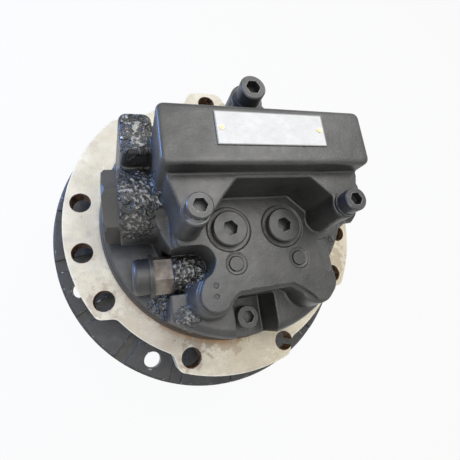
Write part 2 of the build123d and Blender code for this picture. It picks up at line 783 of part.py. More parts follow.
def motor_shaft():
    """Shaft through the cylinder block, with the coupling bore for the sun shaft at its lower end."""
    low = cavity_bottom - shaft_bearing_w - seal_w - 6
    seal_top = cavity_bottom - shaft_bearing_w
    body = revolved([
        (0, low), (shaft_seal_r, low), (shaft_seal_r, seal_top), (shaft_bearing_r, seal_top),
        (shaft_bearing_r, swash_face - 2), (shaft_r, swash_face + 2), (shaft_r, block_top + valve_plate_t),
        (shaft_r - 2.5, block_top + valve_plate_t), (shaft_r - 2.5, shaft_end), (0, shaft_end),
    ])
    return body - tube(spline_r, 0, low, low + spline_depth)


def cylinder_block():
    """Cylinder block with its nine bores and the kidney slots that meet the valve plate."""
    low = block_top - block_length
    body = tube(block_r, shaft_r, low, block_top)
    bore = tube(piston_r + running, 0, low, block_top - 7, piston_circle_r)
    slot = tube(4, 0, block_top - 7, block_top, piston_circle_r)
    for cut in around(bore, piston_count) + around(slot, piston_count):
        body -= cut
    return body


def piston():
    """Piston with its neck and ball, at mid stroke."""
    ball = swash_face + shoe_t + 4
    body = tube(piston_r, 0, ball + 9, block_top - 16, piston_circle_r)
    body += tube(3.5, 0, ball, ball + 9, piston_circle_r)
    return body + Pos(piston_circle_r, 0, ball) * Sphere(4.5)


def piston_shoe():
    """Shoe that slides on the swash plate and holds the piston's ball."""
    face = swash_face + running
    body = tube(shoe_r, 0, face, face + shoe_t, piston_circle_r)
    body += tube(shoe_neck_r, 0, face + shoe_t, face + shoe_t + 5, piston_circle_r)
    return body - Pos(piston_circle_r, 0, swash_face + shoe_t + 4) * Sphere(4.5)


def retainer_plate():
    """Plate that keeps the shoes on the swash plate."""
    low = swash_face + running + shoe_t
    body = tube(block_r, shaft_r + 1, low, low + retainer_t)
    hole = tube(shoe_neck_r + gap, 0, low, low + retainer_t, piston_circle_r)
    for cut in around(hole, piston_count):
        body -= cut
    return body


def brake_pack():
    """Friction discs on the block and steel plates in the casing, from the bottom up."""
    discs = []
    plates = []
    level = brake_pack_bottom
    for k in range(friction_discs):
        plates.append(tube(cavity_r, block_r + 2, level, level + plate_t))
        level += plate_t + disc_gap
        discs.append(tube(disc_outer_r, block_r, level, level + disc_t))
        level += disc_t + disc_gap
    plates.append(tube(cavity_r, block_r + 2, level, level + plate_t))
    return discs, plates, level + plate_t


def brake_piston(low):
    """Annular piston that squeezes the discs."""
    return tube(cavity_r - running, block_r + 1.5, low, low + brake_piston_h)


def valve_plate():
    """Port plate with two kidney slots between block and cover."""
    low = block_top + running
    body = tube(block_r, shaft_r + 1, low, block_top + valve_plate_t)
    for side in (0, 180):
        kidney = SlotArc(CenterArc((0, 0), piston_circle_r, side - 55, 110), 8)
        body -= Pos(0, 0, low) * extrude(kidney, valve_plate_t)
    return body


def counterbalance_spool():
    """Spool with four lands and three grooves."""
    body = tube_x(spool_r - running, 0, -spool_half, spool_half, spool_y, spool_z)
    for centre, width in ((-31, 14), (0, 18), (31, 14)):
        body -= tube_x(spool_r, spool_r - 4, centre - width / 2, centre + width / 2, spool_y, spool_z)
    return body


def spool_end_plug(side):
    """Large hex plug with a spring chamber."""
    start = spool_boss_end - end_plug_reach
    head = extrude(RegularPolygon(end_plug_af / 2, 6, major_radius=False, rotation=end_plug_turn), end_plug_head)
    skin = Pos(0, 0, end_plug_head / 2) * Cylinder(end_plug_af / 2 * 1.13, end_plug_head)
    head &= chamfer(skin.faces().sort_by(Axis.Z)[-1].edges(), 2.2)
    shank = Pos(0, 0, -end_plug_reach / 2) * Cylinder(end_plug_thread_r, end_plug_reach)
    bore = Pos(0, 0, -end_plug_reach / 2 + 2) * Cylinder(spool_r - 1.5, end_plug_reach + 4)
    body = head + shank - bore
    return Pos(side * spool_boss_end, spool_y, spool_z) * Rot(0, 90 * side, 0) * body


def spool_spring(side):
    """Coil spring of the spool, drawn as the sleeve that it fills."""
    start = spring_seat_x + spring_seat_t
    ends = sorted((side * start, side * (spool_boss_end + 4)))
    return tube_x(spool_r - 3, spool_r - 5.5, *ends, spool_y, spool_z)


def spring_seat(side):
    """Washer that the spring presses on the shoulder of the cover, where the spool meets it."""
    ends = sorted((side * spring_seat_x, side * (spring_seat_x + spring_seat_t)))
    return tube_x(spring_seat_r, 3, *ends, spool_y, spool_z)


def port_plug(side):
    """Hex socket plug with a flat collar."""
    x, y = side * port_plug_xy[0], port_plug_xy[1]
    return socket_plug(x, y, port_face - 1, port_plug_head + 1, 1)


def socket_plug(x, y, seat, head, up):
    """Plug that screws into a port: collar on the seat, threaded shank below it."""
    ends = sorted((seat, seat + up * head))
    body = tube(port_plug_r, 0, *ends, x, y)
    rim = body.faces().sort_by(Axis.Z)[-1 if up > 0 else 0].edges()
    body = chamfer(rim, 0.8)
    ends = sorted((seat, seat - up * 10))
    body += tube(port_thread_r, 0, *ends, x, y)
    ends = sorted((seat + up * head, seat + up * (head - 7)))
    return body - hexagon(10, *ends, x, y, 15)


def relief_valve(side):
    """Relief valve cartridge, flush in the back of the valve block, with a hex socket."""
    x = side * valve_x
    body = tube_y(valve_r, block_high_y - valve_length, block_high_y - 1, x, valve_z)
    socket = Pos(x, block_high_y - 4, valve_z) * Rot(90, 0, 0)
    return body - socket * extrude(RegularPolygon(4, 6, major_radius=False), 3, both=True)


def pilot_fitting():
    """Hex adapter on the side boss, its washer and the dust cap on its outer end."""
    hex_end = fitting_boss_end - fitting_hex
    seal_end = hex_end - fitting_seal_t
    prism = extrude(RegularPolygon(fitting_af / 2, 6, major_radius=False, rotation=18), fitting_hex)
    adapter = Pos(hex_end, fitting_y, fitting_z) * Rot(0, 90, 0) * prism
    adapter += tube_x(fitting_bore_r, 0, hex_end - 9, fitting_boss_end + 12, fitting_y, fitting_z)
    seal = tube_x(fitting_seal_r, fitting_bore_r, seal_end, hex_end, fitting_y, fitting_z)
    cap = tube_x(fitting_cap_r, 0, seal_end - fitting_cap_length, seal_end, fitting_y, fitting_z)
    cap = fillet(cap.faces().sort_by(Axis.X)[0].edges(), 4)
    cap -= tube_x(fitting_bore_r, 0, hex_end - 9, seal_end, fitting_y, fitting_z)
    return adapter, seal, cap


def nameplate():
    """Blank rating plate on the valve block, with its two drive rivets."""
    x, y = nameplate_centre
    plate = Pos(x, y, block_front + nameplate_t / 2) * Box(*nameplate_size, nameplate_t)
    rivets = []
    for side in (-1, 1):
        plate -= tube(rivet_r, 0, block_front, block_front + nameplate_t, x + side * rivet_x, y)
        rivets.append(tube(rivet_r, 0, block_front, block_front + nameplate_t + 0.5, x + side * rivet_x, y))
    return plate, rivets


def build():
    """Every node of the drive, by name."""
    inner_races, outer_races, rollers = main_bearings()
    discs, plates, pack_top = brake_pack()
    adapter, fitting_seal, dust_cap = pilot_fitting()
    plate, rivets = nameplate()
    planets_1 = planet_stage(planet_1_teeth, stage_1_r, pin_1_r + needle_t, planet_1_end, planet_1_top)
    planets_2 = planet_stage(
        planet_2_teeth, stage_2_r, pin_2_r + needle_t, planet_2_top - planet_2_w, planet_2_top
    )
    needles_1 = tube(pin_1_r + needle_t - running, pin_1_r, planet_1_end, planet_1_top, stage_1_r)
    needles_2 = tube(pin_2_r + needle_t - running, pin_2_r, planet_2_top - planet_2_w, planet_2_top, stage_2_r)
    pin_2_low = planet_2_top - planet_2_w - gap - pin_head_t
    pin_1_low = planet_1_end - gap - pin_head_t
    shaft_bearing_low = cavity_bottom - shaft_bearing_w
    piston_low = pack_top + brake_stroke
    spring_low = piston_low + brake_piston_h + running
    spring = tube(brake_spring_r, 0, spring_low, pilot_h + brake_spring_pocket, brake_spring_circle_r)
    case_tip = hub_end + case_screw_reach - 2
    case_seat = ring_end - cover_rim_t
    nodes = {
        "motor_casing": motor_casing(),
        "rear_cover": rear_cover(),
        "cover_screws": group(
            [cap_screw(d, s + washer_t, pilot_h - screw_grip + 2, x, y) for x, y, s, d in cover_screw_places()]
        ),
        "lock_washers": group(
            [tube(d * washer_ratio, d / 2, s, s + washer_t, x, y) for x, y, s, d in cover_screw_places()]
        ),
        "port_plugs": group([port_plug(-1), port_plug(1)]),
        "expander_plugs": group(
            [tube(expander_r, 0, port_face - 6, port_face - 0.2, x, y) for x, y in expander_xy]
            + [tube(pin_plug_r, 0, port_face - 6, port_face - 0.6, x, y) for x, y in pin_plug_xy]
        ),
        "relief_valves": group([relief_valve(-1), relief_valve(1)]),
        "spool_end_plugs": group([spool_end_plug(-1), spool_end_plug(1)]),
        "counterbalance_spool": counterbalance_spool(),
        "spool_springs": group([spool_spring(-1), spool_spring(1)]),
        "spring_seats": group([spring_seat(-1), spring_seat(1)]),
        "pilot_fitting": adapter,
        "pilot_seal_washer": fitting_seal,
        "pilot_dust_cap": dust_cap,
        "nameplate": plate,
        "nameplate_rivets": group(rivets),
        "bearing_inner_races": group(inner_races),
        "bearing_outer_races": group(outer_races),
        "bearing_rollers": group(rollers),
        "bearing_nut": tube(nut_thread_r + nut_w, nut_thread_r, bearing_seat_end - nut_t, bearing_seat_end),
        "fixed_seal_ring": seal_half(1),
        "fixed_seal_o_ring": seal_toric(1),
        "hub_seal_ring": seal_half(-1),
        "hub_seal_o_ring": seal_toric(-1),
        "hub": hub(),
        "ring_gear": ring_gear(),
        "end_cover": end_cover(),
        "end_cover_screws": group(
            around(cap_screw(case_screw_d, case_seat, case_tip, case_screw_circle_r, 0), case_screw_count)
        ),
        "oil_plugs": group([socket_plug(x, y, cover_end + 5, 4, -1) for x, y in oil_plug_places()]),
        "thrust_pad": tube(12, 0, cover_end + cover_wall + 2, planet_1_end - 2 - 0.5),
        "planet_pins_2": group(
            headed_pin(pin_2_r, pin_2_head_r, pin_2_low, casing_end + pin_2_depth, stage_2_r)
        ),
        "planet_needles_2": group(around(needles_2, planets_per_stage)),
        "planet_washers_2": group(
            around(tube(19, pin_2_r, planet_2_top + gap, casing_end, stage_2_r), planets_per_stage)
        ),
        "sun_gear_2": sun_gear_2(),
        "carrier_1": carrier_1(),
        "planet_pins_1": group(headed_pin(pin_1_r, pin_1_head_r, pin_1_low, carrier_top, stage_1_r)),
        "planet_needles_1": group(around(needles_1, planets_per_stage)),
        "sun_gear_1": sun_gear_1(),
        "motor_shaft": motor_shaft(),
        "shaft_bearing": tube(shaft_bearing_outer_r, shaft_bearing_r + running, shaft_bearing_low, cavity_bottom),
        "shaft_seal": tube(seal_housing_r, shaft_seal_r + running, shaft_bearing_low - seal_w, shaft_bearing_low),
        "rear_bearing": tube(
            rear_bearing_r, shaft_r - 2.5 + running, block_top + valve_plate_t, block_top + valve_plate_t + rear_bearing_w
        ),
        "cylinder_block": cylinder_block(),
        "pistons": group(around(piston(), piston_count)),
        "piston_shoes": group(around(piston_shoe(), piston_count)),
        "retainer_plate": retainer_plate(),
        "swash_plate": tube(swash_r, shaft_bearing_r + 1, cavity_bottom, swash_face),
        "valve_plate": valve_plate(),
        "friction_discs": group(discs),
        "brake_plates": group(plates),
        "brake_piston": brake_piston(piston_low),
        "brake_springs": group(around(spring, brake_springs, 22.5)),
    }
    for k, letter in enumerate("abc"):
        nodes[f"planet_gear_1{letter}"] = planets_1[k]
        nodes[f"planet_gear_2{letter}"] = planets_2[k]
    return nodes


os.makedirs("parts", exist_ok=True)
for name, shape in build().items():
    export_step(shape, f"parts/{name}.step")
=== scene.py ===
import json
import math

import bpy
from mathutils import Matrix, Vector

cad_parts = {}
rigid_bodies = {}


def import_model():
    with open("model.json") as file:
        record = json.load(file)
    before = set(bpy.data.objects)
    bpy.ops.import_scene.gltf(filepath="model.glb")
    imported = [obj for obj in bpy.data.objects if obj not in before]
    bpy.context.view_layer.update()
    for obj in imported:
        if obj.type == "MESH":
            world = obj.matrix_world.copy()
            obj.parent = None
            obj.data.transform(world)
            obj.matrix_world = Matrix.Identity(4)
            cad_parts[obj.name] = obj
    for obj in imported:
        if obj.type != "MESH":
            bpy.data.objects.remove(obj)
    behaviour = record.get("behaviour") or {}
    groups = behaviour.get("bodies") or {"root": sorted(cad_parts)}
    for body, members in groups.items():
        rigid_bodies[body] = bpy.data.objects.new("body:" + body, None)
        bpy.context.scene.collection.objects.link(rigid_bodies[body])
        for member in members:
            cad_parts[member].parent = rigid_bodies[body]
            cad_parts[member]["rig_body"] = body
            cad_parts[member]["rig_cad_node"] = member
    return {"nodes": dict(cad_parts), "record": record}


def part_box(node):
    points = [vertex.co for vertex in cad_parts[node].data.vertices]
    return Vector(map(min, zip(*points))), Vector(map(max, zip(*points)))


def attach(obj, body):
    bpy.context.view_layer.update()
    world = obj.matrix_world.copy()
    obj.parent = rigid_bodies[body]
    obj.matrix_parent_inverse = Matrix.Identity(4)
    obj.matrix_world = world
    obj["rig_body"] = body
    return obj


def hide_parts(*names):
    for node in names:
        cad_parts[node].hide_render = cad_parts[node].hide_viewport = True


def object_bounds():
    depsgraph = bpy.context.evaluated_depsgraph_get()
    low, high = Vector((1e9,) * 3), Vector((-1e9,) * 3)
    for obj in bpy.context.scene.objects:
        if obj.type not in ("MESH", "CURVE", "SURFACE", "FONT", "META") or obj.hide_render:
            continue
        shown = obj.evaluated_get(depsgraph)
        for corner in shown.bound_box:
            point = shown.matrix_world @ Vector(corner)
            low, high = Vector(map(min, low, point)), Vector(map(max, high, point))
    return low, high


# Looks for the crawler excavator final drive. Metres, +Z points away from the machine frame.

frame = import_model()
nodes = frame["nodes"]
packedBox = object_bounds()
print("frame loaded:", len(nodes), "nodes")

mm = 0.001


# Small tools for the shaders

def addNode(tree, kind, inputs=None, **settings):
    made = tree.nodes.new("ShaderNode" + kind)
    for key, value in settings.items():
        setattr(made, key, value)
    for key, value in (inputs or {}).items():
        socket = made.inputs[key]
        if isinstance(value, bpy.types.NodeSocket):
            tree.links.new(value, socket)
        else:
            socket.default_value = value
    return made


def startMaterial(name):
    material = bpy.data.materials.new(name)
    material.use_nodes = True
    tree = material.node_tree
    place = addNode(tree, "TexCoord").outputs["Object"]
    return material, tree, place


def noise(tree, place, size, detail=3, stretch=None):
    if stretch:
        place = addNode(tree, "Mapping", {"Vector": place, "Scale": stretch}).outputs["Vector"]
    inputs = {"Vector": place, "Scale": 1 / size, "Detail": detail}
    return addNode(tree, "TexNoise", inputs).outputs["Fac"]


def band(tree, value, low, high):  # 0 at low, 1 at high, eased between
    inputs = {"Value": value, "From Min": low, "From Max": high}
    return addNode(tree, "MapRange", inputs, interpolation_type="SMOOTHSTEP").outputs["Result"]


def span(tree, value, low, high):  # noise value 0.3 to 0.7 spread over low to high
    inputs = {"Value": value, "From Min": 0.3, "From Max": 0.7, "To Min": low, "To Max": high}
    return addNode(tree, "MapRange", inputs).outputs["Result"]


def maths(tree, operation, a, b=0.0):
    return addNode(tree, "Math", {0: a, 1: b}, operation=operation).outputs["Value"]


def blendColour(tree, factor, a, b):
    def four(colour):
        return colour if isinstance(colour, bpy.types.NodeSocket) else (*colour, 1)
    inputs = {0: factor, 6: four(a), 7: four(b)}
    return addNode(tree, "Mix", inputs, data_type="RGBA").outputs[2]


def wornEdges(tree, reach, low=0.02, high=0.3):  # bright where an outer corner is near
    inside = addNode(tree, "AmbientOcclusion", {"Distance": reach}, inside=True, samples=6)
    return band(tree, maths(tree, "SUBTRACT", 1.0, inside.outputs["AO"]), low, high)


# Painted shade: this mask darkens inner corners, creases and recesses, where shade falls.
def cornerShadeMask(tree, reach, low=0.15, high=0.75):  # bright where an inner corner is near
    outside = addNode(tree, "AmbientOcclusion", {"Distance": reach}, samples=6)
    return band(tree, maths(tree, "SUBTRACT", 1.0, outside.outputs["AO"]), low, high)


def spots(tree, place, patches, ragged=0.5, grain=6 * mm):  # soft round patches, the largest wins
    ragging = span(tree, noise(tree, place, grain, 4), -ragged, ragged)
    best = None
    for patch in patches:
        centre = [value * mm for value in patch["at"]]
        distance = addNode(tree, "VectorMath", {0: place, 1: centre}, operation="DISTANCE").outputs["Value"]
        relative = maths(tree, "DIVIDE", distance, patch["reach"] * mm)
        mask = band(tree, maths(tree, "ADD", relative, ragging), 1.0, 0.55)
        mask = maths(tree, "MULTIPLY", mask, patch.get("amount", 1.0))
        best = mask if best is None else maths(tree, "MAXIMUM", best, mask)
    return best


def bumps(tree, layers, rounding=None):  # layers: (height 0 to 1, depth in metres)
    normal = addNode(tree, "Bevel", {"Radius": rounding}, samples=4).outputs["Normal"] if rounding else None
    for height, depth in layers:
        inputs = {"Height": height, "Distance": depth, "Strength": 1.0}
        if normal:
            inputs["Normal"] = normal
        normal = addNode(tree, "Bump", inputs).outputs["Normal"]
    return normal


def close(tree, colour, roughness, normal, metallic=0.0, **coat):
    shader = tree.nodes["Principled BSDF"]
    for socket, value in (("Base Color", colour), ("Roughness", roughness),
                          ("Normal", normal), ("Metallic", metallic)):
        if isinstance(value, bpy.types.NodeSocket):
            tree.links.new(value, shader.inputs[socket])
        elif value is not None:
            shader.inputs[socket].default_value = (*value, 1) if socket == "Base Color" else value
    for socket, value in coat.items():
        shader.inputs[socket.replace("_", " ")].default_value = value


# Black paint sprayed over the rough castings and everything screwed to them

def sprayedCasting(name, look):
    material, tree, place = startMaterial(name)
    broad = span(tree, noise(tree, place, look["cloud"], 4), 0, 1)
    colour = blendColour(tree, broad, look["dark"], look["light"])
    fine = noise(tree, place, look["grain"], 3)
    dusty = maths(tree, "MULTIPLY", band(tree, fine, 0.55, 0.75), look["dustAmount"])
    colour = blendColour(tree, dusty, colour, look["dust"])
    patches = span(tree, noise(tree, place, look["wearPatch"]), 0, look["wear"])
    worn = maths(tree, "MULTIPLY", wornEdges(tree, look["edge"]), patches)
    colour = blendColour(tree, worn, colour, look["bare"])
    # Painted shade: inner corners and recesses darkened to the near-black shade colour.
    paintedCornerShade = maths(tree, "MULTIPLY", cornerShadeMask(tree, look["shadeReach"]), look["shadeAmount"])
    colour = blendColour(tree, paintedCornerShade, colour, look["shadeColour"])
    # Listed spots: bare spots, partly wear and partly a painted highlight, and shade spots, painted shade on
    # the pin plugs.
    for key in ("bare", "shadeColour"):
        if look.get(key + "At"):
            colour = blendColour(tree, spots(tree, place, look[key + "At"], 0.3, 2 * mm), colour, look[key])
    roughness = span(tree, noise(tree, place, look["glossPatch"]), *look["gloss"])
    layers = [(noise(tree, place, look["sag"], 2), look["sagDepth"]), (fine, look["grainDepth"])]
    if look.get("rough"):
        rough = spots(tree, place, look["rough"])
        crumbs = noise(tree, place, look["crumb"], 1)
        lumps = noise(tree, place, look["lump"], 2)
        # Painted highlights: light grey glint specks on the crumbs of the rough patches, over real bumps.
        paintedGlint = maths(tree, "MULTIPLY", rough, band(tree, crumbs, 0.5, 0.66))
        paintedGlint = maths(tree, "MULTIPLY", paintedGlint, look["paintedGlintAmount"])
        colour = blendColour(tree, paintedGlint, colour, look["paintedGlint"])
        roughness = maths(tree, "SUBTRACT", roughness, maths(tree, "MULTIPLY", rough, look["oiliness"]))
        layers.append((maths(tree, "MULTIPLY", rough, crumbs), look["crumbDepth"]))
        layers.append((maths(tree, "MULTIPLY", rough, lumps), look["lumpDepth"]))
    close(tree, colour, roughness, bumps(tree, layers, look.get("rounding")), Coat_Weight=look["coat"],
          Coat_Roughness=look["coatRoughness"])
    return material


# In the paint looks the shade colour, with its reach and amount, paints shade into inner corners and recesses.
coverPaint = {
    "dark": (0.020, 0.020, 0.020), "light": (0.056, 0.055, 0.052), "dust": (0.12, 0.117, 0.108),
    "bare": (0.26, 0.26, 0.26), "shadeColour": (0.003, 0.003, 0.004), "paintedGlint": (0.42, 0.42, 0.40),
    "cloud": 22 * mm, "grain": 1.3 * mm, "grainDepth": 0.12 * mm, "sag": 9 * mm, "sagDepth": 0.4 * mm,
    "edge": 1.1 * mm, "wear": 0.25, "wearPatch": 5 * mm, "dustAmount": 0.35,
    "shadeReach": 9 * mm, "shadeAmount": 0.6, "gloss": (0.34, 0.46), "glossPatch": 7 * mm,
    "coat": 0.1, "coatRoughness": 0.3,
    "crumb": 2.6 * mm, "crumbDepth": 1.8 * mm, "lump": 6 * mm, "lumpDepth": 2.4 * mm,
    # The glint colour and amount paint highlights onto the rough patches.
    "paintedGlintAmount": 0.85, "oiliness": 0.22,
    "rough": [
        {"at": (-81, 41, 90), "reach": 17},
        {"at": (-83, 4, 76), "reach": 20},
        {"at": (-86, -18, 68), "reach": 16, "amount": 0.8},
        {"at": (-48, -54, 50), "reach": 17, "amount": 0.9},
        {"at": (-47, -86, 16), "reach": 20},
        {"at": (-62, -71, 16), "reach": 15, "amount": 0.8},
        {"at": (79, 41, 90), "reach": 15},
        {"at": (84, 2, 74), "reach": 18, "amount": 0.7},
        {"at": (-52, -88, 53), "reach": 10, "amount": 0.6},
    ],
}
# The bare spot on the left screw's lower rim is partly worn metal and partly a painted highlight.
screwPaint = dict(coverPaint, rough=None, light=(0.045, 0.045, 0.044), bare=(0.45, 0.45, 0.45), edge=0.7 * mm,
                  wear=0.5, grain=0.9 * mm, grainDepth=0.05 * mm, sagDepth=0.12 * mm, gloss=(0.32, 0.44),
                  rounding=0.35 * mm, bareAt=[{"at": (-54, -36, 119), "reach": 9, "amount": 0.8}])
# Painted shade: the two pin plug tops are darkened to the shade colour.
plugPaint = dict(screwPaint, light=(0.026, 0.026, 0.025), wear=0.1, bareAt=None, shadeColourAt=[
    {"at": (-36.1, -68.5, 80), "reach": 3}, {"at": (-36.5, -76, 80), "reach": 3},
])
hexPaint = dict(screwPaint, dark=(0.012, 0.012, 0.012), light=(0.03, 0.029, 0.027), dust=(0.10, 0.09, 0.08),
                bareAt=None)
fittingPaint = dict(hexPaint, dark=(0.12, 0.10, 0.085), light=(0.36, 0.31, 0.26), dust=(0.46, 0.40, 0.33),
                    cloud=6 * mm)


# The sprocket flange: older semi-gloss paint, blotchy, chipped to bright iron at the corners

def chippedPaint(name, look):
    material, tree, place = startMaterial(name)
    broad = span(tree, noise(tree, place, look["cloud"], 5), 0, 1)
    colour = blendColour(tree, broad, look["dark"], look["light"])
    blotch = band(tree, noise(tree, place, look["blotch"], 5), 0.48, 0.7)
    colour = blendColour(tree, maths(tree, "MULTIPLY", blotch, look["blotchAmount"]), colour, look["dust"])
    chipNoise = band(tree, noise(tree, place, look["chip"], 6), 0.58, 0.66)
    chips = maths(tree, "MULTIPLY", wornEdges(tree, look["chipEdge"]), chipNoise)
    specks = band(tree, noise(tree, place, look["speck"], 5), 0.74, 0.79)
    bare = maths(tree, "MAXIMUM", chips, maths(tree, "MULTIPLY", specks, look["specks"]))
    # Painted shade: inner corners darkened to a bluish near-black.
    paintedCornerShade = maths(tree, "MULTIPLY", cornerShadeMask(tree, look["shadeReach"]), look["shadeAmount"])
    colour = blendColour(tree, paintedCornerShade, colour, look["shadeColour"])
    colour = blendColour(tree, bare, colour, look["bare"])
    roughness = span(tree, noise(tree, place, look["glossPatch"]), *look["gloss"])
    layers = [(noise(tree, place, look["sag"], 3), look["sagDepth"]),
              (noise(tree, place, look["grain"], 3), look["grainDepth"]), (bare, -look["paintDepth"])]
    metallic = maths(tree, "MULTIPLY", bare, look["bareMetallic"])
    close(tree, colour, roughness, bumps(tree, layers, look["rounding"]), metallic,
          Coat_Weight=look["coat"], Coat_Roughness=look["coatRoughness"])
    return material


# The bluish shade colour paints shade into inner corners.
hubPaint = {"dark": (0.012, 0.012, 0.013), "light": (0.028, 0.028, 0.027), "dust": (0.085, 0.084, 0.078),
            "bare": (0.5, 0.5, 0.49), "shadeColour": (0.006, 0.008, 0.016), "specks": 0.6,
            "cloud": 17 * mm, "blotch": 8 * mm, "blotchAmount": 0.4, "chip": 5 * mm, "chipEdge": 1.3 * mm,
            "speck": 2.6 * mm, "bareMetallic": 0.7, "shadeReach": 8 * mm, "shadeAmount": 0.7,
            "gloss": (0.34, 0.54), "glossPatch": 8 * mm, "coat": 0.05, "coatRoughness": 0.25,
            "sag": 7 * mm, "sagDepth": 0.5 * mm, "grain": 1.2 * mm, "grainDepth": 0.12 * mm,
            "paintDepth": 0.12 * mm, "rounding": 1.2 * mm}


# Machined iron left bare: turning marks, handling scratches, old oil and rust stains

def flatPlace(tree, place):  # the place seen along the drive's axis
    return addNode(tree, "Mapping", {"Vector": place, "Scale": (1, 1, 0)}).outputs["Vector"]


def boltHoles(tree, place, reach):  # 1 within reach of the axis of a frame hole
    flat = flatPlace(tree, place)
    nearest = None
    for opening in frame["record"]["physics"]["openings"]:
        if not opening["name"].startswith("frame_bolt"):
            continue
        low, high = opening["box_m"]
        axis = ((low[0] + high[0]) / 2, (low[1] + high[1]) / 2, 0)
        distance = addNode(tree, "VectorMath", {0: flat, 1: axis}, operation="DISTANCE").outputs["Value"]
        nearest = distance if nearest is None else maths(tree, "MINIMUM", nearest, distance)
    return band(tree, nearest, reach + 0.5 * mm, reach)


def agedIron(name, look):
    material, tree, place = startMaterial(name)
    broad = span(tree, noise(tree, place, 30 * mm, 4), 0, 1)
    colour = blendColour(tree, broad, look["dark"], look["light"])
    mottle = band(tree, noise(tree, place, 5 * mm, 6), 0.48, 0.7)
    colour = blendColour(tree, maths(tree, "MULTIPLY", mottle, look["mottleAmount"]), colour, look["mottle"])
    scratchA = band(tree, noise(tree, place, 9 * mm, 3, (1, 30, 6)), 0.63, 0.66)
    scratchB = band(tree, noise(tree, place, 11 * mm, 3, (24, 1.3, 6)), 0.64, 0.67)
    scratch = maths(tree, "MAXIMUM", scratchA, scratchB)
    colour = blendColour(tree, maths(tree, "MULTIPLY", scratch, look["scratchAmount"]), colour, look["scratch"])
    stained = spots(tree, place, look["stains"], 0.6)
    colour = blendColour(tree, maths(tree, "MULTIPLY", stained, look["stainAmount"]), colour, look["stain"])
    specks = band(tree, noise(tree, place, 3 * mm, 5), 0.62, 0.74)
    colour = blendColour(tree, maths(tree, "MULTIPLY", specks, look["speckAmount"]), colour, look["stain"])
    # Painted shade: inner corners darkened to the dark brown shade colour.
    corners = cornerShadeMask(tree, 7 * mm, 0.25, 0.8)
    colour = blendColour(tree, maths(tree, "MULTIPLY", corners, look["shadeAmount"]), colour, look["shadeColour"])
    worn = maths(tree, "MULTIPLY", wornEdges(tree, look["edgeReach"]), look["edgeAmount"])
    colour = blendColour(tree, worn, colour, look["edge"])
    roughness = span(tree, noise(tree, place, look["glossPatch"], 4), *look["gloss"])
    turned = {"Vector": place, "Scale": 1 / look["turningPitch"], "Distortion": 0.4, "Detail": 2.0}
    rings = addNode(tree, "TexWave", turned, wave_type="RINGS", rings_direction="Z").outputs["Fac"]
    layers = [(rings, look["turning"]), (noise(tree, place, 0.9 * mm, 3), 0.04 * mm), (scratch, -0.05 * mm)]
    fromAxis = addNode(tree, "VectorMath", {0: flatPlace(tree, place)}, operation="LENGTH").outputs["Value"]
    stepReach = look["stepReach"]
    nearStep = band(tree, fromAxis, stepReach + 6 * mm, stepReach + 0.5 * mm)
    rusty = maths(tree, "MULTIPLY", nearStep, spots(tree, place, look["rustRing"], 0.7, 4 * mm))
    colour = blendColour(tree, maths(tree, "MULTIPLY", rusty, look["rustAmount"]), colour, look["rust"])
    # Painted shade: everything inside the step radius, round the foot of the rear cover, is darkened to the
    # shade colour.
    step = band(tree, fromAxis, stepReach + 0.8 * mm, stepReach)
    step = maths(tree, "MULTIPLY", step, look["stepAmount"])
    colour = blendColour(tree, step, colour, look["shadeColour"])
    # Painted shade on the walls of the nine frame bolt holes, patched with rust colour.
    inHoles = boltHoles(tree, place, look["holeReach"])
    holePatches = band(tree, noise(tree, place, 3 * mm, 4), 0.4, 0.6)
    holeShadeAndRust = blendColour(tree, holePatches, look["holeShade"], look["holeRust"])
    colour = blendColour(tree, inHoles, colour, holeShadeAndRust)
    grooved = {"Vector": place, "Scale": 1 / look["groovePitch"]}
    grooves = addNode(tree, "TexWave", grooved, wave_type="BANDS", bands_direction="Z").outputs["Fac"]
    layers.append((maths(tree, "MULTIPLY", inHoles, grooves), look["grooveDepth"]))
    # Metallic is taken off the stains and off the painted shade in the bolt holes and inside the step.
    bright = maths(tree, "SUBTRACT", look["metallic"], maths(tree, "MULTIPLY", stained, look["metallic"]))
    paintedShadeAreas = maths(tree, "MAXIMUM", inHoles, step)
    metallic = maths(tree, "MULTIPLY", bright, maths(tree, "SUBTRACT", 1.0, paintedShadeAreas))
    close(tree, colour, roughness, bumps(tree, layers, look["rounding"]), metallic)
    return material


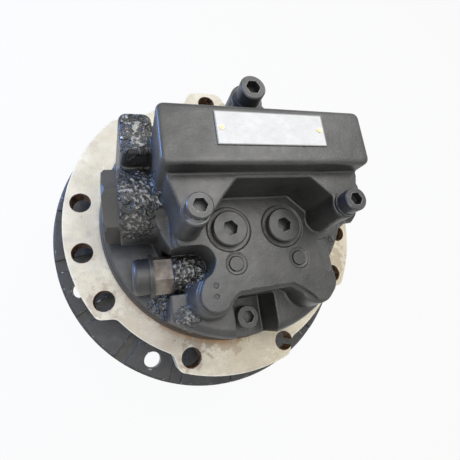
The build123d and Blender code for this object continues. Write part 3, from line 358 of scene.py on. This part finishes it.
# The shade colour paints shade into inner corners and inside the step radius.
flangeIron = {
    "dark": (0.50, 0.45, 0.34), "light": (0.70, 0.65, 0.53), "mottle": (0.46, 0.40, 0.28),
    "rust": (0.36, 0.19, 0.08),
    "scratch": (0.80, 0.78, 0.70), "stain": (0.24, 0.14, 0.06), "shadeColour": (0.04, 0.026, 0.016),
    "mottleAmount": 0.22, "scratchAmount": 0.3, "stainAmount": 0.75, "speckAmount": 0.35,
    "shadeAmount": 0.85, "edgeAmount": 0.5, "rustAmount": 0.85, "stepAmount": 0.9,
    "edge": (0.80, 0.79, 0.74), "edgeReach": 1.2 * mm, "turning": 0.03 * mm, "turningPitch": 7.5 * mm,
    "gloss": (0.4, 0.58), "glossPatch": 6 * mm, "metallic": 0.3, "rounding": 0.5 * mm,
    "groovePitch": 12.6 * mm, "grooveDepth": 0.5 * mm, "stepReach": 112.8 * mm,
    # The hole shade colour paints shade in the bolt holes; the hole rust colour is rust.
    "holeReach": 8.7 * mm, "holeShade": (0.05, 0.032, 0.02), "holeRust": (0.30, 0.17, 0.08),
    "rustRing": [
        {"at": (-20, -112, 0), "reach": 26},
        {"at": (-55, -99, 0), "reach": 26, "amount": 0.8},
        {"at": (-88, -72, 0), "reach": 18, "amount": 0.4},
    ],
    "stains": [
        {"at": (-70, -98, 0), "reach": 55, "amount": 0.3},
        {"at": (5, -128, 0), "reach": 46, "amount": 0.26},
        {"at": (-35, -102, 0), "reach": 22, "amount": 0.75},
        {"at": (-8, -113, 0), "reach": 16, "amount": 0.6},
        {"at": (-62, -96, 0), "reach": 15, "amount": 0.4},
        {"at": (-114, -65, 0), "reach": 14, "amount": 0.5},
        {"at": (-45, -122, 0), "reach": 13, "amount": 0.6},
        {"at": (118, -50, 0), "reach": 16, "amount": 0.5},
        {"at": (30, 128, 0), "reach": 18, "amount": 0.5},
    ],
}


# Ground, lapped or hardened steel and the other inside metals

def insideMetal(name, look):
    material, tree, place = startMaterial(name)
    broad = span(tree, noise(tree, place, look["cloud"], 4), 0, 1)
    colour = blendColour(tree, broad, look["dark"], look["light"])
    film = band(tree, noise(tree, place, look["cloud"] * 0.3, 5), 0.56, 0.72)
    colour = blendColour(tree, maths(tree, "MULTIPLY", film, look["film"]), colour, look["filmColour"])
    worn = maths(tree, "MULTIPLY", wornEdges(tree, look["edgeReach"]), look["wear"])
    colour = blendColour(tree, worn, colour, look["edge"])
    # Painted shade: inner corners darkened to the shade colour.
    paintedCornerShade = maths(tree, "MULTIPLY", cornerShadeMask(tree, look["shadeReach"]), look["shadeAmount"])
    colour = blendColour(tree, paintedCornerShade, colour, look["shadeColour"])
    lay = noise(tree, place, 3 * mm, 3, look["lay"])
    roughness = span(tree, lay, *look["gloss"])
    layers = [(lay, look["layDepth"]), (noise(tree, place, look["grain"], 3), look["grainDepth"])]
    close(tree, colour, roughness, bumps(tree, layers), look["metallic"])
    return material


# The shade colour of the inside metals paints shade into inner corners.
groundSteel = {
    "dark": (0.46, 0.47, 0.49), "light": (0.62, 0.63, 0.65), "edge": (0.8, 0.8, 0.8), "wear": 0.5,
    "filmColour": (0.40, 0.34, 0.24), "film": 0.25, "shadeColour": (0.10, 0.09, 0.07), "cloud": 14 * mm,
    "gloss": (0.2, 0.34), "lay": (1, 1, 14), "layDepth": 0.02 * mm, "grain": 0.6 * mm,
    "grainDepth": 0.01 * mm, "metallic": 1.0, "edgeReach": 0.8 * mm, "shadeReach": 4 * mm, "shadeAmount": 0.5,
}
hardenedSteel = dict(groundSteel, dark=(0.24, 0.24, 0.26), light=(0.38, 0.38, 0.40), film=0.4,
                     gloss=(0.28, 0.45))
motorSteel = dict(groundSteel, dark=(0.42, 0.43, 0.46), light=(0.56, 0.57, 0.6), lay=(6, 6, 1))
springSteel = dict(groundSteel, dark=(0.10, 0.10, 0.12), light=(0.22, 0.22, 0.24), gloss=(0.3, 0.48), film=0.15)
lappedIron = dict(groundSteel, dark=(0.30, 0.30, 0.31), light=(0.43, 0.43, 0.44), gloss=(0.3, 0.45), film=0.35)
lappedBronze = dict(groundSteel, dark=(0.46, 0.31, 0.14), light=(0.66, 0.48, 0.25), edge=(0.85, 0.68, 0.42),
                    filmColour=(0.26, 0.19, 0.10), shadeColour=(0.12, 0.08, 0.04))
rivetBrass = dict(lappedBronze, dark=(0.24, 0.18, 0.07), light=(0.36, 0.28, 0.12), cloud=4 * mm,
                  gloss=(0.25, 0.4), lay=(1, 1, 1))
frictionLining = dict(groundSteel, dark=(0.13, 0.10, 0.07), light=(0.25, 0.20, 0.15), metallic=0.0,
                      cloud=6 * mm, gloss=(0.75, 0.95), lay=(1, 1, 1), layDepth=0.12 * mm,
                      grainDepth=0.08 * mm)
sealRubber = dict(groundSteel, dark=(0.02, 0.02, 0.021), light=(0.038, 0.038, 0.038), edge=(0.07, 0.07, 0.07),
                  filmColour=(0.06, 0.055, 0.05), metallic=0.0, gloss=(0.5, 0.68), lay=(1, 1, 1))


# The blank enamelled plate, thin dark line round its border

def plateFinish(name, look):
    material, tree, place = startMaterial(name)
    low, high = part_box("nameplate")
    centre, half = (low + high) / 2, (high - low) / 2
    parts = addNode(tree, "SeparateXYZ", {"Vector": place}).outputs
    awayX = maths(tree, "ABSOLUTE", maths(tree, "SUBTRACT", parts["X"], centre.x))
    awayY = maths(tree, "ABSOLUTE", maths(tree, "SUBTRACT", parts["Y"], centre.y))
    inner, outer = look["rimInset"]
    rimX = band(tree, awayX, half.x - inner, half.x - outer)
    rimY = band(tree, awayY, half.y - inner, half.y - outer)
    colour = blendColour(tree, span(tree, noise(tree, place, 15 * mm), 0, 1), look["dark"], look["light"])
    smudge = band(tree, noise(tree, place, 5 * mm, 5, (1, 2.2, 1)), 0.55, 0.72)
    colour = blendColour(tree, maths(tree, "MULTIPLY", smudge, look["smudgeAmount"]), colour, look["smudge"])
    scratch = band(tree, noise(tree, place, 5 * mm, 2, (1.5, 34, 1)), 0.66, 0.69)
    colour = blendColour(tree, maths(tree, "MULTIPLY", scratch, look["scratchAmount"]), colour, look["scratch"])
    rim = maths(tree, "MULTIPLY", maths(tree, "MAXIMUM", rimX, rimY), look["rimAmount"])
    colour = blendColour(tree, rim, colour, look["rim"])
    roughness = span(tree, noise(tree, place, 4 * mm), 0.3, 0.5)
    layers = [(noise(tree, place, 9 * mm, 2), 0.15 * mm), (scratch, -0.02 * mm)]
    close(tree, colour, roughness, bumps(tree, layers, 0.3 * mm))
    return material


blankPlate = {"dark": (0.60, 0.60, 0.59), "light": (0.68, 0.68, 0.67), "smudge": (0.44, 0.43, 0.41),
              "scratch": (0.5, 0.5, 0.49), "rim": (0.16, 0.16, 0.16), "rimAmount": 0.8,
              "smudgeAmount": 0.25, "scratchAmount": 0.4, "rimInset": (0.9 * mm, 0.5 * mm)}

finishes = {
    "cover_paint": sprayedCasting("casting paint", coverPaint),
    "screw_paint": sprayedCasting("screw paint", screwPaint),
    "hub_paint": chippedPaint("hub paint", hubPaint),
    "machined_iron": agedIron("aged machined iron", flangeIron),
    "plate_metal": plateFinish("blank plate", blankPlate),
    "rivet_brass": insideMetal("rivet brass", rivetBrass),
    "seal_iron": insideMetal("lapped seal iron", lappedIron),
    "seal_rubber": insideMetal("seal rubber", sealRubber),
    "bearing_steel": insideMetal("ground bearing steel", groundSteel),
    "gear_steel": insideMetal("hardened gear steel", hardenedSteel),
    "motor_steel": insideMetal("motor steel", motorSteel),
    "spring_steel": insideMetal("spring steel", springSteel),
    "bronze": insideMetal("lapped bronze", lappedBronze),
    "friction": insideMetal("friction lining", frictionLining),
}
ownFinish = {
    "spool_end_plugs": sprayedCasting("hex plug paint", hexPaint),
    "pilot_fitting": sprayedCasting("fitting paint", fittingPaint),
    "port_plugs": sprayedCasting("port plug paint", plugPaint),
}
ownFinish["expander_plugs"] = ownFinish["port_plugs"]
slotOfNode = {row["node"]: row["material_slot"] for row in frame["record"]["subparts"]}


def paint(piece, material):
    piece.data.materials.clear()
    piece.data.materials.append(material)


for name, piece in nodes.items():
    paint(piece, ownFinish.get(name) or finishes[slotOfNode[name]])
print("finishes made:", len(finishes) + len(ownFinish))


# The rear cover as it comes out of the sand mould: every corner rounded, machined seats crisp

def copyNode(nodeName, pieceName):
    bpy.ops.object.select_all(action="DESELECT")
    source = nodes[nodeName]
    source.select_set(True)
    bpy.context.view_layer.objects.active = source
    bpy.ops.object.duplicate()
    piece = bpy.context.active_object
    bpy.ops.object.parent_clear(type="CLEAR_KEEP_TRANSFORM")
    piece.name = pieceName
    piece.data.name = pieceName
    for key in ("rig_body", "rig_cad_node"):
        del piece[key]
    bpy.ops.object.mode_set(mode="EDIT")
    bpy.ops.mesh.select_all(action="SELECT")
    bpy.ops.mesh.remove_doubles(threshold=0.002 * mm)
    bpy.ops.mesh.customdata_custom_splitnormals_clear()
    bpy.ops.object.mode_set(mode="OBJECT")
    return piece


def applyModifier(piece, kind, **settings):
    made = piece.modifiers.new(kind.lower(), kind)
    for key, value in settings.items():
        setattr(made, key, value)
    bpy.context.view_layer.objects.active = piece
    bpy.ops.object.modifier_apply(modifier=made.name)


castCover = {"voxel": 0.7 * mm, "seatSmooth": 2, "castSmooth": 9, "triangles": 190000,
             "seats": (20.3 * mm, 80.5 * mm, 100.8 * mm, 117.5 * mm), "seatBand": 1.2 * mm}


def makeCastCover(look):
    piece = copyNode("rear_cover", "cast_rear_cover")
    applyModifier(piece, "REMESH", mode="VOXEL", voxel_size=look["voxel"])
    print("cast cover points after remesh:", len(piece.data.vertices))
    rough = piece.vertex_groups.new(name="cast")
    awayFromSeats = [point.index for point in piece.data.vertices
                     if min(abs(point.co.z - level) for level in look["seats"]) > look["seatBand"]]
    rough.add(awayFromSeats, 1.0, "REPLACE")
    applyModifier(piece, "SMOOTH", factor=0.5, iterations=look["castSmooth"], vertex_group="cast")
    applyModifier(piece, "SMOOTH", factor=0.5, iterations=look["seatSmooth"])
    count = sum(len(face.vertices) - 2 for face in piece.data.polygons)
    if count > look["triangles"]:
        applyModifier(piece, "DECIMATE", ratio=look["triangles"] / count)
    bpy.ops.object.shade_smooth()
    paint(piece, finishes["cover_paint"])
    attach(piece, "casing")
    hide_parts("rear_cover")
    print("cast cover triangles:", sum(len(face.vertices) - 2 for face in piece.data.polygons))
    return piece


makeCastCover(castCover)


# Floor, lamps and world: plain and soft, white to the lens

def seenDirectly(tree):  # 1 for the lens and for what metal and glass mirror
    rays = addNode(tree, "LightPath").outputs
    mirrored = maths(tree, "MAXIMUM", rays["Is Glossy Ray"], rays["Is Transmission Ray"])
    return maths(tree, "MAXIMUM", rays["Is Camera Ray"], mirrored)


def paleFloor(look):
    low = packedBox[0]
    bpy.ops.object.select_all(action="DESELECT")
    bpy.ops.mesh.primitive_plane_add(size=look["size"], location=(0, 0, low.z - look["drop"]))
    floor = bpy.context.active_object
    floor.name = "floor"
    material = bpy.data.materials.new("pale floor")
    material.use_nodes = True
    tree = material.node_tree
    shader = tree.nodes["Principled BSDF"]
    shader.inputs["Base Color"].default_value = look["colour"]
    shader.inputs["Roughness"].default_value = look["roughness"]
    white = addNode(tree, "Emission", {"Color": (1, 1, 1, 1), "Strength": 1.0}).outputs["Emission"]
    seen = maths(tree, "MULTIPLY", seenDirectly(tree), look["white"])
    mixed = addNode(tree, "MixShader", {0: seen, 1: shader.outputs["BSDF"], 2: white})
    tree.links.new(mixed.outputs["Shader"], tree.nodes["Material Output"].inputs["Surface"])
    floor.data.materials.append(material)


def softLamp(name, place, aim, width, power, colour):
    lamp = bpy.data.lights.new(name, "AREA")
    lamp.size = width
    lamp.energy = power
    lamp.color = colour
    holder = bpy.data.objects.new(name, lamp)
    bpy.context.scene.collection.objects.link(holder)
    holder.location = place
    holder.rotation_euler = (Vector(aim) - Vector(place)).to_track_quat("-Z", "Y").to_euler()


def lightTheScene(look):
    for lamp in look["lamps"]:
        softLamp(**lamp)
    world = bpy.data.worlds.new("soft room")
    bpy.context.scene.world = world
    world.use_nodes = True
    tree = world.node_tree
    room = tree.nodes["Background"]
    room.inputs["Color"].default_value = look["room"]
    room.inputs["Strength"].default_value = look["roomStrength"]
    white = addNode(tree, "Background", {"Color": (1, 1, 1, 1), "Strength": 1.0}).outputs["Background"]
    mixed = addNode(tree, "MixShader", {0: seenDirectly(tree), 1: room.outputs["Background"], 2: white})
    tree.links.new(mixed.outputs["Shader"], tree.nodes["World Output"].inputs["Surface"])


studio = {
    "room": (0.94, 0.97, 1.0, 1), "roomStrength": 0.2,
    "lamps": [
        {"name": "overhead", "place": (0.05, 0.15, 0.95), "aim": (0, 0, 0.05), "width": 0.7, "power": 5.2,
         "colour": (1.0, 0.985, 0.96)},
        {"name": "glossBox", "place": (0.42, 0.47, 0.95), "aim": (0, 0, 0.1), "width": 0.5, "power": 3.4,
         "colour": (1.0, 0.99, 0.97)},
        {"name": "nearLens", "place": (-0.35, -0.45, 0.8), "aim": (0, 0, 0), "width": 0.35, "power": 1.6,
         "colour": (1.0, 0.99, 0.97)},
        {"name": "window", "place": (-0.8, 0.42, 0.2), "aim": (-0.05, 0, 0.04), "width": 0.3, "power": 9,
         "colour": (0.2, 0.42, 1.0)},
    ],
}

floorLook = {"size": 8, "drop": 0.2 * mm, "colour": (0.6, 0.6, 0.6, 1), "roughness": 0.9, "white": 0.93}

paleFloor(floorLook)
lightTheScene(studio)
print("floor and lamps set")

# Camera where the photograph was taken from: close above the motor end, looking down and inwards

lens = {"place": (-94.73, -82.31, 298.26), "turn": (15.284, -16.797, -8.278), "focal": 25.552, "sensor": 36}
cameraData = bpy.data.cameras.new("lens")
cameraData.lens = lens["focal"]
cameraData.sensor_width = lens["sensor"]
cameraData.clip_start = 0.01
camera = bpy.data.objects.new("lens", cameraData)
camera.location = [value * mm for value in lens["place"]]
camera.rotation_euler = [math.radians(value) for value in lens["turn"]]
bpy.context.scene.collection.objects.link(camera)
bpy.context.scene.camera = camera
bpy.context.scene.view_settings.view_transform = "Standard"

print("scene ready")
